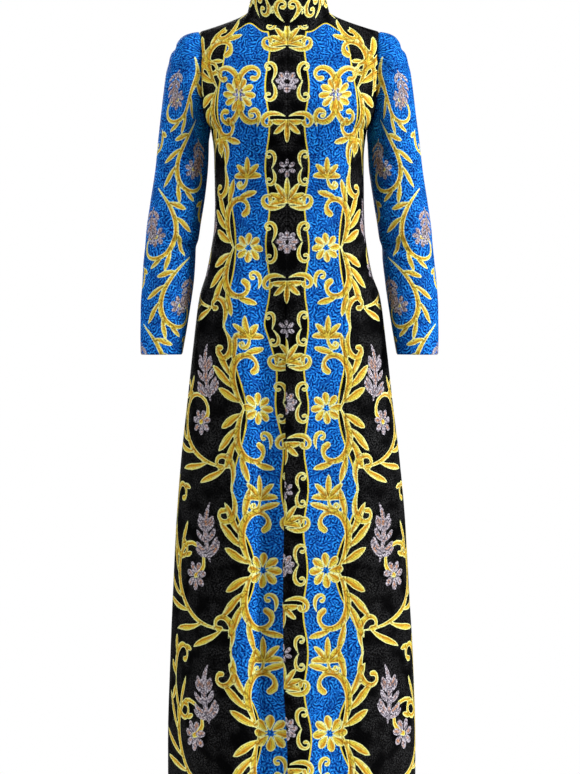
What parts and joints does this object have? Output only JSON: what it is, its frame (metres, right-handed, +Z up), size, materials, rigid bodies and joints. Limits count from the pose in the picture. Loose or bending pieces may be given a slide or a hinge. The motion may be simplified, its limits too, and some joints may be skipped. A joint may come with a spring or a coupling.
{
  "type": "long coat",
  "caption": "Full-length fitted coat in raised brocade, with a stand collar, long set-in sleeves, princess seams and a flared skirt, worn open inside.",
  "frame": {"origin": "middle of the neck base, level with the side of the neck, where the wearer's shoulders and neck carry the coat", "axes": "+Z up towards the collar, -Y out of the front, +X to the wearer's left"},
  "size_m": [0.564, 0.4118, 1.5685],
  "materials": {
    "brocade_fronts": "blue and black raised brocade with a gold and silver-mauve scroll print, soft satin sheen",
    "brocade_sides": "black raised brocade with a gold and silver-mauve scroll print, soft satin sheen",
    "brocade_back": "blue and black raised brocade with a gold scroll print, soft satin sheen",
    "brocade_sleeves": "blue raised brocade with a gold and silver-mauve scroll print, soft satin sheen",
    "brocade_collar": "black raised brocade with gold scrolls, interlined and firm"
  },
  "bodies": {
    "root": {"front_right": "brocade_fronts", "front_left": "brocade_fronts", "side_front_right": "brocade_sides", "side_front_left": "brocade_sides", "side_back_right": "brocade_sides", "side_back_left": "brocade_sides", "back": "brocade_back", "sleeve_right": "brocade_sleeves", "sleeve_left": "brocade_sleeves", "collar": "brocade_collar"}
  },
  "joints": []
}
